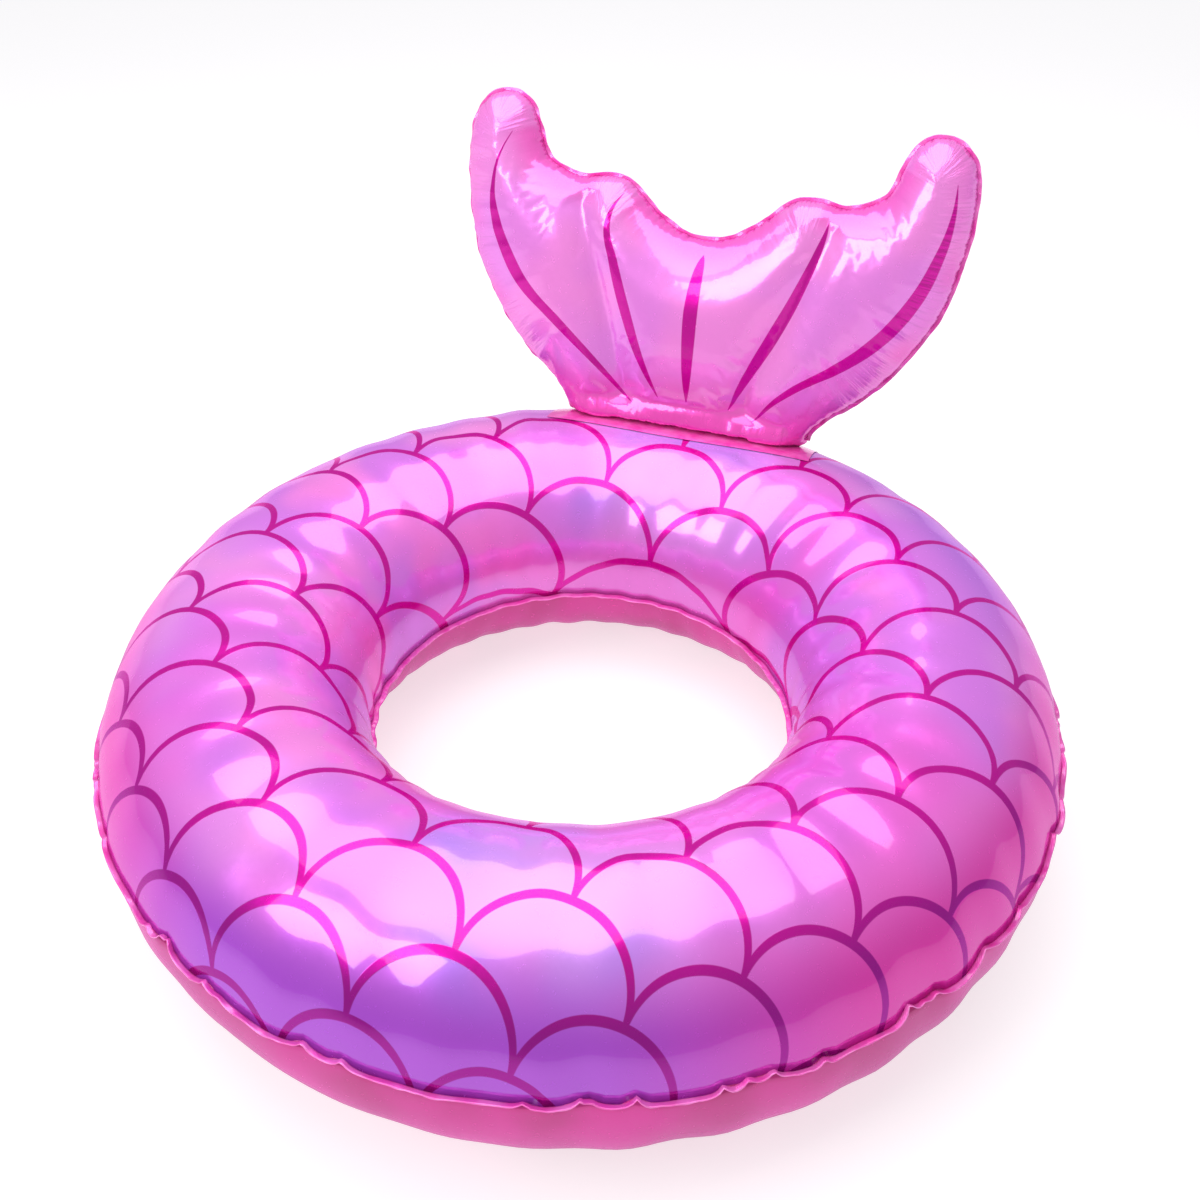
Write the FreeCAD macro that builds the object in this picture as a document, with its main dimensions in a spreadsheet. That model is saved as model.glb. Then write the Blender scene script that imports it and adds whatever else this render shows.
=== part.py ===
"""Inflatable swim ring with a fluke-shaped backrest, in millimetres.

The ring lies flat: +Z is up, the origin is on the ring's axis at floor level, and the
backrest stands at +Y. Every skin is thin film around air, as on the real thing.
"""

import FreeCAD, Part
import math
import os

import Sketcher
from FreeCAD import Placement, Rotation, Vector

DIMENSIONS = {
    "flat_radius": 600,  # outer radius of the ring's two sheets before they are blown up
    "tube_radius": 125,
    "film": 0.4,
    "rest_half_width": 12,  # half the width of the flat band that the ring stands on
    "seam_angle": 10,  # the seams are turned this far round the tube from its middle plane
    "outer_seam_width": 8,
    "inner_seam_width": 6,
    "seam_thickness": 0.8,
    "tail_angle": 74,  # where the tail stands on the tube, from its outer side
    "tail_lean": 15,
    "hinge_height": 3,  # of the tail's bending line above the tube
    "hinge_gap": 0.4,
    "hem_half_width": 132,
    "hem_top": 20,
    "weld_half_width": 150,
    "weld_half_depth": 48,
    "tail_seam_width": 8,
    "web_bottom_across": 70,
    "web_bottom_up": 35,
    "web_top_across": 135,
    "web_top_up": 225,
    "pinch": 0.35,  # how far the two weld lines draw the tail's skins together
    "pinch_reach": 22,
    "ring_valve_angle": -30,
    "tail_valve_up": 104,
    "flange_radius": 18,
    "flange_thickness": 0.8,
    "collar_radius": 10,
    "collar_bore": 8.08,
    "collar_top": 1.6,
    "collar_bottom": -3,
    "stem_radius": 8,
    "stem_top": 14,
    "stem_bottom": -8,
    "rim_radius": 9.5,
    "rim_thickness": 1.5,
    "lip_thickness": 2,
    "throat_radius": 3.5,
    "counterbore_radius": 4.5,
    "counterbore_floor": 6,
    "hinge_offset": 13,  # from a valve's axis to the line that its plug turns about
    "lug_width": 6,
    "lug_end": 12.6,
    "lug_thickness": 1.1,
    "plug_gap": 0.3,
    "plug_head": 1.5,
    "plug_top_radius": 4.3,
    "plug_tip_radius": 2.9,
    "plug_length": 7,
    "plug_tab_end": 16,
    "plug_tab_width": 7,
    "strap_width": 5,
    "strap_thickness": 1,
    "flap_gap": 0.3,
    "flap_thickness": 0.5,
    "flap_radius": 4.7,
    "flap_hinge": 5.6,
    "flap_tab_width": 5,
    "hole_clearance": 0.4,  # between a collar and the edge of its hole in the film
}
FORMULAS = {
    "ring_radius": "=flat_radius - pi * tube_radius + tube_radius",
    "tube_height": "=sqrt(tube_radius ^ 2 - rest_half_width ^ 2)",
    "inner_rest_half_width": "=sqrt((tube_radius - film) ^ 2 - (tube_height - film) ^ 2)",
}

# The tail's outline at stations across it: (across, lower edge, upper edge, half thickness).
TAIL_STATIONS = [
    (0, 6, 201, 46),
    (30, 6, 206, 46),
    (60, 6, 228, 45),
    (90, 6, 251, 44),
    (115, 6, 255, 43),
    (138, 9, 253, 42),
    (160, 28, 256, 41),
    (184, 47, 270, 40),
    (205, 68, 312, 38),
    (224, 92, 328, 34),
    (242, 119, 330, 29),
    (258, 150, 323, 23),
    (269, 190, 305, 15),
    (274, 226, 278, 7),
    (275, 247, 259, 2.5),
]
SECTION_POINTS = 24
SEAM_POINTS = 100
FAR = 400  # reach of the blocks that trim other shapes

doc = FreeCAD.newDocument("SwimRing")
sheet = doc.addObject("Spreadsheet::Sheet", "Sheet")
CELLS = {**{name: str(value) for name, value in DIMENSIONS.items()}, **FORMULAS}
for row, (alias, content) in enumerate(CELLS.items(), start=1):
    sheet.set(f"A{row}", alias)
    sheet.set(f"B{row}", content)
    sheet.setAlias(f"B{row}", alias)
doc.recompute()

sub_parts = []


def size(expression):
    """The value of an expression of dimensions."""
    return float(sheet.evalExpression(expression))


def primitive(kind, name, placement, **expressions):
    """A Part primitive whose sizes follow the sheet."""
    thing = doc.addObject(kind, name)
    for quantity, expression in expressions.items():
        thing.setExpression(quantity, expression)
    thing.Placement = placement
    return thing


def combined(kind, name, base, tool):
    thing = doc.addObject(kind, name)
    thing.Base = base
    thing.Tool = tool
    return thing


def keep(thing, label):
    """Makes an object one of the sub-parts, under the name that its file gets."""
    thing.Label = label
    sub_parts.append(thing)
    return thing


def shaped(name, shape, placement):
    """An object whose freeform shape is worked out in code."""
    thing = doc.addObject("Part::Feature", name)
    thing.Shape = shape
    thing.Placement = placement
    return thing


# ---------------------------------------------------------------- revolved bodies


def draw_loop(sketch, corners, arcs):
    """Draws a closed loop through corners, pairs of expressions, and ties it to the sheet.

    arcs maps the number of an edge to (centre across, centre up, anticlockwise)."""
    places = [Vector(size(across), size(up), 0) for across, up in corners]
    ends = []
    for edge, start in enumerate(places):
        finish = places[(edge + 1) % len(places)]
        if edge not in arcs:
            sketch.addGeometry(Part.LineSegment(start, finish))
            ends.append((1, 2))
            continue
        across, up, anticlockwise = arcs[edge]
        centre = Vector(size(across), size(up), 0)
        first, last = (start, finish) if anticlockwise else (finish, start)
        turn_first = math.atan2(first.y - centre.y, first.x - centre.x)
        turn_last = math.atan2(last.y - centre.y, last.x - centre.x)
        if turn_last <= turn_first:
            turn_last += 2 * math.pi
        circle = Part.Circle(centre, Vector(0, 0, 1), (first - centre).Length)
        sketch.addGeometry(Part.ArcOfCircle(circle, turn_first, turn_last))
        ends.append((1, 2) if anticlockwise else (2, 1))
    for edge, corner in enumerate(corners):
        before = (edge - 1) % len(corners)
        joint = ("Coincident", before, ends[before][1], edge, ends[edge][0])
        sketch.addConstraint(Sketcher.Constraint(*joint))
        for kind, expression in zip(("DistanceX", "DistanceY"), corner):
            tie(sketch, kind, edge, ends[edge][0], expression)
    for edge, arc in arcs.items():
        tie(sketch, "DistanceY", edge, 3, arc[1])


def tie(sketch, kind, edge, point, expression):
    """Holds one coordinate of a point of an edge at an expression's value."""
    constraint = Sketcher.Constraint(kind, edge, point, size(expression))
    number = sketch.addConstraint(constraint)
    sketch.setExpression(f"Constraints[{number}]", expression)


def revolved(name, corners, arcs, placement=Placement()):
    """A PartDesign body turned about Z from one closed sketch in its XZ plane."""
    body = doc.addObject("PartDesign::Body", name)
    planes = {feature.Role: feature for feature in body.Origin.OriginFeatures}
    sketch = body.newObject("Sketcher::SketchObject", name + "_profile")
    sketch.AttachmentSupport = [(planes["XZ_Plane"], "")]
    sketch.MapMode = "FlatFace"
    doc.recompute()
    draw_loop(sketch, corners, arcs)
    turned = body.newObject("PartDesign::Revolution", name + "_turned")
    turned.Profile = sketch
    turned.ReferenceAxis = (sketch, ["V_Axis"])
    turned.Angle = 360
    body.Tip = turned
    body.Placement = placement
    return body


def on_tube(radius, angle, aside="0"):
    """Expressions for a point of the tube's section, by its radius and angle there."""
    return (
        f"Sheet.ring_radius + ({radius}) * cos({angle}) - ({aside}) * sin({angle})",
        f"Sheet.tube_height + ({radius}) * sin({angle}) + ({aside}) * cos({angle})",
    )


def tube_arc(anticlockwise):
    return ("Sheet.ring_radius", "Sheet.tube_height", anticlockwise)


OUTSIDE = "Sheet.tube_radius"
INSIDE = "Sheet.tube_radius - Sheet.film"
OUTER_SEAM = "Sheet.seam_angle"
INNER_SEAM = "Sheet.seam_angle + 180"


def ring_upper_film():
    corners = [
        on_tube(OUTSIDE, OUTER_SEAM),
        on_tube(OUTSIDE, INNER_SEAM),
        on_tube(INSIDE, INNER_SEAM),
        on_tube(INSIDE, OUTER_SEAM),
    ]
    return revolved("UpperFilm", corners, {0: tube_arc(True), 2: tube_arc(False)})


def ring_lower_film():
    """The lower sheet, with the flat band that it rests on and a hole for the valve."""
    band, inner_band = "Sheet.rest_half_width", "Sheet.inner_rest_half_width"
    corners = [
        on_tube(OUTSIDE, INNER_SEAM),
        (f"Sheet.ring_radius - {band}", "0"),
        (f"Sheet.ring_radius + {band}", "0"),
        on_tube(OUTSIDE, OUTER_SEAM),
        on_tube(INSIDE, OUTER_SEAM),
        (f"Sheet.ring_radius + {inner_band}", "Sheet.film"),
        (f"Sheet.ring_radius - {inner_band}", "Sheet.film"),
        on_tube(INSIDE, INNER_SEAM),
    ]
    arcs = {0: tube_arc(True), 2: tube_arc(True), 4: tube_arc(False), 6: tube_arc(False)}
    whole = revolved("LowerFilm", corners, arcs)
    hole = film_hole("LowerFilmHole", ring_valve_frame)
    return combined("Part::Cut", "LowerFilmCut", whole, hole)


def seam_flange(name, angle, width):
    """Two film edges welded together, standing out of the tube."""
    half = "Sheet.seam_thickness / 2"
    outer = f"Sheet.tube_radius + {width}"
    corners = [
        on_tube(OUTSIDE, angle, f"-{half}"),
        on_tube(outer, angle, f"-{half}"),
        on_tube(outer, angle, half),
        on_tube(OUTSIDE, angle, half),
    ]
    return revolved(name, corners, {})


def tube_solid(name, radius):
    """The ring's tube as a full solid, for shapes that have to lie on it."""
    place = Placement(Vector(0, 0, size("Sheet.tube_height")), Rotation())
    sizes = {"Radius1": "Sheet.ring_radius", "Radius2": radius}
    return primitive("Part::Torus", name, place, **sizes)


# ---------------------------------------------------------------- valves


def film_hole(name, frame):
    """A cylinder that opens the film for a valve's collar."""
    return primitive(
        "Part::Cylinder",
        name,
        frame * Placement(Vector(0, 0, -size("Sheet.collar_radius")), Rotation()),
        Radius="Sheet.collar_radius + Sheet.hole_clearance",
        Height="2 * Sheet.collar_radius",
    )


def valve_base(prefix, frame, under, over):
    """A flange that lies on the film between two solids, with a collar through the film."""
    disc = primitive(
        "Part::Cylinder",
        prefix + "Disc",
        frame * Placement(Vector(0, 0, -size("Sheet.collar_radius")), Rotation()),
        Radius="Sheet.flange_radius",
        Height="2 * Sheet.collar_radius",
    )
    bore = primitive(
        "Part::Cylinder",
        prefix + "Bore",
        frame * Placement(Vector(0, 0, -size("Sheet.collar_radius")), Rotation()),
        Radius="Sheet.collar_bore",
        Height="2 * Sheet.collar_radius",
    )
    laid = combined("Part::Common", prefix + "Laid", disc, over)
    trimmed = combined("Part::Cut", prefix + "Trimmed", laid, under)
    opened = combined("Part::Cut", prefix + "Opened", trimmed, bore)
    low, high = "Sheet.collar_bottom", "Sheet.collar_top"
    corners = [
        ("Sheet.collar_bore", low),
        ("Sheet.collar_radius", low),
        ("Sheet.collar_radius", high),
        ("Sheet.collar_bore", high),
    ]
    collar = revolved(prefix + "Collar", corners, {}, frame)
    return combined("Part::Fuse", prefix + "Base", opened, collar)


def valve_block(name, frame, start, end, width, low, thickness):
    """A small box of a valve, from start to end across it."""
    corner = Vector(size(start), -size(width) / 2, size(low))
    return primitive(
        "Part::Box",
        name,
        frame * Placement(corner, Rotation()),
        Length=f"({end}) - ({start})",
        Width=width,
        Height=thickness,
    )


def valve_stem(prefix, frame):
    """The tube that is blown into, with the lug that its plug's strap hangs on."""
    rim_low = "Sheet.stem_top - Sheet.rim_thickness"
    lip_high = "Sheet.stem_bottom + Sheet.lip_thickness"
    corners = [
        ("Sheet.throat_radius", "Sheet.stem_bottom"),
        ("Sheet.rim_radius", "Sheet.stem_bottom"),
        ("Sheet.rim_radius", lip_high),
        ("Sheet.stem_radius", lip_high),
        ("Sheet.stem_radius", rim_low),
        ("Sheet.rim_radius", rim_low),
        ("Sheet.rim_radius", "Sheet.stem_top"),
        ("Sheet.counterbore_radius", "Sheet.stem_top"),
        ("Sheet.counterbore_radius", "Sheet.counterbore_floor"),
        ("Sheet.throat_radius", "Sheet.counterbore_floor"),
    ]
    tube = revolved(prefix + "Tube", corners, {}, frame)
    lug = valve_block(
        prefix + "Lug",
        frame,
        "-Sheet.lug_end",
        "-Sheet.stem_radius",
        "Sheet.lug_width",
        rim_low,
        "Sheet.lug_thickness",
    )
    return combined("Part::Fuse", prefix + "Stem", tube, lug)


def valve_plug(prefix, frame):
    """A tapered stopper with a flat head and a tab to pull."""
    head_low = "Sheet.stem_top + Sheet.plug_gap"
    head_high = f"{head_low} + Sheet.plug_head"
    tip = "Sheet.stem_top - Sheet.plug_length"
    corners = [
        ("0", tip),
        ("Sheet.plug_tip_radius", tip),
        ("Sheet.plug_top_radius", head_low),
        ("Sheet.rim_radius", head_low),
        ("Sheet.rim_radius", head_high),
        ("0", head_high),
    ]
    stopper = revolved(prefix + "Stopper", corners, {}, frame)
    tab = valve_block(
        prefix + "Tab",
        frame,
        "Sheet.stem_radius",
        "Sheet.plug_tab_end",
        "Sheet.plug_tab_width",
        head_low,
        "Sheet.plug_head",
    )
    return combined("Part::Fuse", prefix + "Plug", stopper, tab)


def valve_strap(prefix, frame):
    """The strap that joins the plug's head to the stem's lug."""
    low = "Sheet.stem_top + Sheet.plug_gap"
    band = valve_block(
        prefix + "Band",
        frame,
        "-Sheet.hinge_offset",
        "-Sheet.stem_radius",
        "Sheet.strap_width",
        low,
        "Sheet.strap_thickness",
    )
    head = primitive(
        "Part::Cylinder",
        prefix + "HeadSpace",
        frame,
        Radius="Sheet.rim_radius",
        Height="2 * Sheet.stem_top",
    )
    return combined("Part::Cut", prefix + "Strap", band, head)


def valve_flap(prefix, frame):
    """The check flap under the stem, which air pushes open and shut."""
    low = "Sheet.stem_bottom - Sheet.flap_gap - Sheet.flap_thickness"
    disc = primitive(
        "Part::Cylinder",
        prefix + "FlapDisc",
        frame * Placement(Vector(0, 0, size(low)), Rotation()),
        Radius="Sheet.flap_radius",
        Height="Sheet.flap_thickness",
    )
    tab = valve_block(
        prefix + "FlapTab",
        frame,
        "-Sheet.flap_hinge",
        "-Sheet.flap_radius / 2",
        "Sheet.flap_tab_width",
        low,
        "Sheet.flap_thickness",
    )
    return combined("Part::Fuse", prefix + "Flap", disc, tab)


def keep_valve(label, prefix, frame, under, over):
    keep(valve_base(prefix, frame, under, over), label + "_base")
    keep(valve_stem(prefix, frame), label + "_stem")
    keep(valve_plug(prefix, frame), label + "_plug")
    keep(valve_strap(prefix, frame), label + "_strap")
    keep(valve_flap(prefix, frame), label + "_flap")


# ---------------------------------------------------------------- tail


def drawn_in(across, up):
    """The share of the tail's thickness left near its two weld lines."""
    bottom = Vector(size("Sheet.web_bottom_across"), size("Sheet.web_bottom_up"), 0)
    top = Vector(size("Sheet.web_top_across"), size("Sheet.web_top_up"), 0)
    place = Vector(abs(across), up, 0)
    along = (place - bottom).dot(top - bottom) / (top - bottom).dot(top - bottom)
    nearest = bottom + (top - bottom) * min(max(along, 0), 1)
    distance = (place - nearest).Length / size("Sheet.pinch_reach")
    return 1 - size("Sheet.pinch") * math.exp(-(distance**2))


def tail_section(across, low, high, half_thickness, growth):
    """A closed lens-shaped curve across the tail, at one station."""
    middle = (low + high) / 2
    points = []
    for step in range(SECTION_POINTS):
        turn = 2 * math.pi * step / SECTION_POINTS
        up = middle + ((high - low) / 2 + growth) * math.cos(turn)
        out = (half_thickness + growth) * math.sin(turn) * drawn_in(across, up)
        points.append(Vector(across, up, out))
    curve = Part.BSplineCurve()
    curve.interpolate(points, PeriodicFlag=True)
    return Part.Wire([curve.toShape()])


def pillow(growth):
    """The blown-up tail as a full solid, grown outwards by a distance."""
    widest = TAIL_STATIONS[-1][0]
    right = [
        (across * (widest + growth) / widest, low, high, half)
        for across, low, high, half in TAIL_STATIONS
    ]
    left = [(-across, *rest) for across, *rest in reversed(right[1:])]
    sections = [tail_section(*station, growth) for station in left + right]
    return Part.makeLoft(sections, True, False)


def slab(half_width, low, high, half_thickness):
    """A flat block of the tail's own frame, evenly about its middle plane."""
    corner = Vector(-half_width, low, -half_thickness)
    return Part.makeBox(2 * half_width, high - low, 2 * half_thickness, corner)


def tail_skins(outer, inner):
    """The front and back films: the wall between two solids, parted at the middle plane."""
    wall = outer.cut(inner)
    front_half = Part.makeBox(2 * FAR, 2 * FAR, FAR, Vector(-FAR, -FAR, 0))
    return wall.common(front_half), wall.cut(front_half)


def tail_outline():
    """The tail's edge in its middle plane, clockwise from the middle of the top."""
    right = [Vector(across, high, 0) for across, _, high, _ in TAIL_STATIONS]
    right += [Vector(across, low, 0) for across, low, _, _ in reversed(TAIL_STATIONS)]
    left = [Vector(-place.x, place.y, 0) for place in reversed(right[1:-1])]
    curve = Part.BSplineCurve()
    curve.interpolate(right + left, PeriodicFlag=True)
    return curve


def tail_seam(outer):
    """The welded edge round the tail, open along its foot, where the hem is."""
    half = size("Sheet.seam_thickness / 2")
    curve = tail_outline()
    start, finish = curve.FirstParameter, curve.LastParameter
    points = []
    for step in range(SEAM_POINTS):
        turn = start + (finish - start) * step / SEAM_POINTS
        outward = curve.tangent(turn)[0].cross(Vector(0, 0, -1))
        place = curve.value(turn) + outward * size("Sheet.tail_seam_width")
        points.append(Vector(place.x, place.y, -half))
    rim = Part.BSplineCurve()
    rim.interpolate(points, PeriodicFlag=True)
    band = Part.Face(Part.Wire([rim.toShape()])).extrude(Vector(0, 0, 2 * half))
    foot = slab(size("Sheet.hem_half_width"), -FAR, size("Sheet.hem_top"), half)
    below = slab(FAR, -FAR, size("Sheet.hinge_height + Sheet.hinge_gap / 2"), half)
    return band.cut(outer).cut(foot).cut(below)


def tail_hem(outer):
    """The two films welded together under the tail, down to the line that they bend on."""
    low = size("Sheet.hinge_height + Sheet.hinge_gap / 2")
    half = size("Sheet.seam_thickness / 2")
    strip = slab(size("Sheet.hem_half_width"), low, size("Sheet.hem_top"), half)
    left_over = strip.cut(outer).Solids
    return min(left_over, key=lambda solid: solid.CenterOfMass.y)


def tail_web(inner, side):
    """A strip of film inside the tail that ties its skins together along a weld line."""
    bottom = Vector(side * size("Sheet.web_bottom_across"), size("Sheet.web_bottom_up"), -FAR)
    top = Vector(side * size("Sheet.web_top_across"), size("Sheet.web_top_up"), -FAR)
    aside = (top - bottom).cross(Vector(0, 0, 1)).normalize() * size("Sheet.film / 2")
    corners = [bottom - aside, top - aside, top + aside, bottom + aside, bottom - aside]
    strip = Part.Face(Part.makePolygon(corners)).extrude(Vector(0, 0, 2 * FAR))
    return strip.common(inner)


def weld_flange(tail_frame):
    """The strip welded on the ring, and the film standing up from it that carries the tail."""
    tube = tube_solid("WeldTube", OUTSIDE)
    thicker_tube = tube_solid("WeldTubeOver", "Sheet.tube_radius + Sheet.film")
    half_width = "Sheet.weld_half_width"
    patch = primitive(
        "Part::Box",
        "WeldPatchBlock",
        tail_frame
        * Placement(
            Vector(-size(half_width), -size(half_width) / 2, -size("Sheet.weld_half_depth")),
            Rotation(),
        ),
        Length=f"2 * {half_width}",
        Width=half_width,
        Height="2 * Sheet.weld_half_depth",
    )
    upright_top = size("Sheet.hinge_height - Sheet.hinge_gap / 2")
    upright = primitive(
        "Part::Box",
        "WeldUprightBlock",
        tail_frame
        * Placement(
            Vector(
                -size("Sheet.hem_half_width"),
                upright_top - size(half_width) / 2,
                -size("Sheet.seam_thickness / 2"),
            ),
            Rotation(),
        ),
        Length="2 * Sheet.hem_half_width",
        Width=f"{half_width} / 2",
        Height="Sheet.seam_thickness",
    )
    laid = combined("Part::Common", "WeldLaid", patch, thicker_tube)
    both = combined("Part::Fuse", "WeldBoth", laid, upright)
    return combined("Part::Cut", "WeldFlange", both, tube)


def placed_on_tube(angle, turn_about_x):
    """The frame at a point of the tube's section at +Y, turned about X."""
    height = size("Sheet.tube_height") + size(OUTSIDE) * math.sin(math.radians(angle))
    out = size("Sheet.ring_radius") + size(OUTSIDE) * math.cos(math.radians(angle))
    return Placement(Vector(0, out, height), Rotation(Vector(1, 0, 0), turn_about_x))


# ---------------------------------------------------------------- assembly

# A valve's own frame has its axis as Z and points its strap down the surface, along -X.
STRAP_DOWNHILL = Rotation(Vector(0, 0, 1), -90)
ring_valve_angle = size("Sheet.ring_valve_angle")
ring_valve_frame = placed_on_tube(ring_valve_angle, ring_valve_angle - 90) * Placement(
    Vector(), STRAP_DOWNHILL
)
tail_frame = placed_on_tube(size("Sheet.tail_angle"), 90 - size("Sheet.tail_lean"))
tail_outer = pillow(0)
tail_inner = pillow(-size("Sheet.film"))
tail_valve_frame = tail_frame * Placement(
    Vector(0, size("Sheet.tail_valve_up"), -TAIL_STATIONS[0][3]),
    Rotation(Vector(1, 0, 0), 180),
) * Placement(Vector(), STRAP_DOWNHILL)

keep(ring_upper_film(), "ring_upper_film")
keep(ring_lower_film(), "ring_lower_film")
keep(seam_flange("OuterSeam", OUTER_SEAM, "Sheet.outer_seam_width"), "ring_outer_seam")
keep(seam_flange("InnerSeam", INNER_SEAM, "Sheet.inner_seam_width"), "ring_inner_seam")
keep(weld_flange(tail_frame), "tail_weld_flange")
keep_valve(
    "ring_valve",
    "RingValve",
    ring_valve_frame,
    tube_solid("RingValveUnder", OUTSIDE),
    tube_solid("RingValveOver", "Sheet.tube_radius + Sheet.flange_thickness"),
)

front, back = tail_skins(tail_outer, tail_inner)
keep(shaped("TailFront", front, tail_frame), "tail_front_film")
back_whole = shaped("TailBackWhole", back, tail_frame)
back_hole = film_hole("TailBackHole", tail_valve_frame)
keep(combined("Part::Cut", "TailBack", back_whole, back_hole), "tail_back_film")
keep(shaped("TailSeam", tail_seam(tail_outer), tail_frame), "tail_edge_seam")
keep(shaped("TailHem", tail_hem(tail_outer), tail_frame), "tail_hem")
for side, word in ((-1, "left"), (1, "right")):
    web = shaped(f"TailWeb_{word}", tail_web(tail_inner, side), tail_frame)
    keep(web, f"tail_{word}_web")
keep_valve(
    "tail_valve",
    "TailValve",
    tail_valve_frame,
    shaped("TailValveUnder", tail_outer, tail_frame),
    shaped("TailValveOver", pillow(size("Sheet.flange_thickness")), tail_frame),
)

doc.recompute()
for thing in doc.Objects:
    if "Invalid" in thing.State or "Error" in thing.State:
        raise RuntimeError(f"{thing.Label} failed: {thing.State}")
os.makedirs("parts", exist_ok=True)
for thing in sub_parts:
    if thing.Shape.isNull() or not thing.Shape.isValid() or not thing.Shape.Solids:
        raise RuntimeError(f"{thing.Label} has no valid solid")
    thing.Shape.exportStep(f"parts/{thing.Label}.step")
    box = thing.Shape.BoundBox
    print(
        f"{thing.Label}: {thing.Shape.Volume:.1f} mm3, {len(thing.Shape.Solids)} solid(s), "
        f"x {box.XMin:.1f} {box.XMax:.1f} y {box.YMin:.1f} {box.YMax:.1f} "
        f"z {box.ZMin:.1f} {box.ZMax:.1f}"
    )
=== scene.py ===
"""An inflatable swim ring with a fluke-shaped backrest: printed film, welds and valves."""

import math

import bpy
import numpy as np
from mathutils import Matrix, Vector
from mathutils.geometry import delaunay_2d_cdt


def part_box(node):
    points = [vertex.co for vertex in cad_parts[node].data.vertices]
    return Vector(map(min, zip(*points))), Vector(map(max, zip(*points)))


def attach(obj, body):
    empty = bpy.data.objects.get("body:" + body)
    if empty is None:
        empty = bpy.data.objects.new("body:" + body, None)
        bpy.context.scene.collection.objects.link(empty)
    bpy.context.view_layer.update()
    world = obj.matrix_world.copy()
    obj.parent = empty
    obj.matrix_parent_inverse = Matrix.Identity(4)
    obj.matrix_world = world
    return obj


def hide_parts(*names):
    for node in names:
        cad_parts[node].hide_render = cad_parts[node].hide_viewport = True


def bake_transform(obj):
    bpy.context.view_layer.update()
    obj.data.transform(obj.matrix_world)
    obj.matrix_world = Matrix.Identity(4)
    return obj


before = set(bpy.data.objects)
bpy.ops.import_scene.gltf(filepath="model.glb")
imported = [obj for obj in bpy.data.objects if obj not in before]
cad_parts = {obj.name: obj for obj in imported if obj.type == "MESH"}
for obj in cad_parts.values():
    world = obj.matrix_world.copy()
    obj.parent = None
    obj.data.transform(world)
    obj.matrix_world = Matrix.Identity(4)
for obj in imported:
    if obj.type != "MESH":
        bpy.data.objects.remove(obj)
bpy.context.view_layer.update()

MM = 0.001
SEED = 11

# ---------------------------------------------------------------- the frame's own sizes

REST_BAND = 12 * MM  # half the width of the flat band that the ring stands on
FILM = 0.4 * MM
top_of_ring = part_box("ring_upper_film")[1].z
TUBE_RADIUS = (top_of_ring**2 + REST_BAND**2) / (2 * top_of_ring)
TUBE_HEIGHT = top_of_ring - TUBE_RADIUS
RING_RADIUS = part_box("ring_lower_film")[1].x - TUBE_RADIUS
OUTER_SEAM = math.radians(10)  # the seams' places round the tube, from its outer side
INNER_SEAM = math.radians(190)
INNER_SEAM_WIDTH = 6 * MM
SEAM_THICKNESS = 0.8 * MM

TAIL_ANGLE = math.radians(74)  # where the tail stands on the tube
TAIL_LEAN = math.radians(15)
TAIL_FOOT = Vector(
    (
        0,
        RING_RADIUS + TUBE_RADIUS * math.cos(TAIL_ANGLE),
        TUBE_HEIGHT + TUBE_RADIUS * math.sin(TAIL_ANGLE),
    )
)
TAIL_UP = Vector((0, math.sin(TAIL_LEAN), math.cos(TAIL_LEAN)))
TAIL_FRONT = Vector((0, -math.cos(TAIL_LEAN), math.sin(TAIL_LEAN)))
TAIL_AXES = np.array([Vector((1, 0, 0)), TAIL_UP, TAIL_FRONT])

# ---------------------------------------------------------------- mixing the finishes


def srgb(red, green, blue):
    """A colour as light, from the numbers 0 to 255 that a paint chart gives."""
    parts = [part / 255 for part in (red, green, blue)]
    light = [p / 12.92 if p <= 0.04045 else ((p + 0.055) / 1.055) ** 2.4 for p in parts]
    return (*light, 1)


class Wire:
    """A node's output. A sum written with it adds the nodes that work the sum out."""

    def __init__(self, tree, socket=None):
        self.tree = tree
        self.socket = socket

    def node(self, kind, settings=None, values=None, output=0):
        """Any node: its settings are set first, and then its sockets' values or links."""
        made = self.tree.nodes.new("ShaderNode" + kind)
        for name, setting in (settings or {}).items():
            if name == "stops":
                set_stops(made.color_ramp, setting)
            else:
                setattr(made, name, setting)
        for name, value in (values or {}).items():
            if isinstance(value, Wire):
                self.tree.links.new(value.socket, made.inputs[name])
            else:
                made.inputs[name].default_value = value
        return Wire(self.tree, made.outputs[output])

    def math(self, operation, *terms):
        return self.node("Math", {"operation": operation}, dict(enumerate(terms)))

    def __add__(self, other):
        return self.math("ADD", self, other)

    def __radd__(self, other):
        return self.math("ADD", other, self)

    def __sub__(self, other):
        return self.math("SUBTRACT", self, other)

    def __rsub__(self, other):
        return self.math("SUBTRACT", other, self)

    def __mul__(self, other):
        return self.math("MULTIPLY", self, other)

    def __rmul__(self, other):
        return self.math("MULTIPLY", other, self)

    def __truediv__(self, other):
        return self.math("DIVIDE", self, other)

    def __pow__(self, other):
        return self.math("POWER", self, other)

    def __abs__(self):
        return self.math("ABSOLUTE", self)

    def low(self, other):
        return self.math("MINIMUM", self, other)

    def high(self, other):
        return self.math("MAXIMUM", self, other)

    def between(self, start, finish):
        """0 up to start, 1 from finish on, and smooth in between."""
        settings = {"interpolation_type": "SMOOTHSTEP"}
        return self.node("MapRange", settings, {"Value": self, 1: start, 2: finish})

    def blend(self, first, second):
        """The mix of two colours, or of two colour wires, by this wire."""
        values = {0: self, 6: first, 7: second}
        return self.node("Mix", {"data_type": "RGBA"}, values, output=2)

    def parts(self):
        """A vector's X, Y and Z."""
        split = self.node("SeparateXYZ", values={0: self}).socket.node
        return [Wire(self.tree, output) for output in split.outputs]


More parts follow.
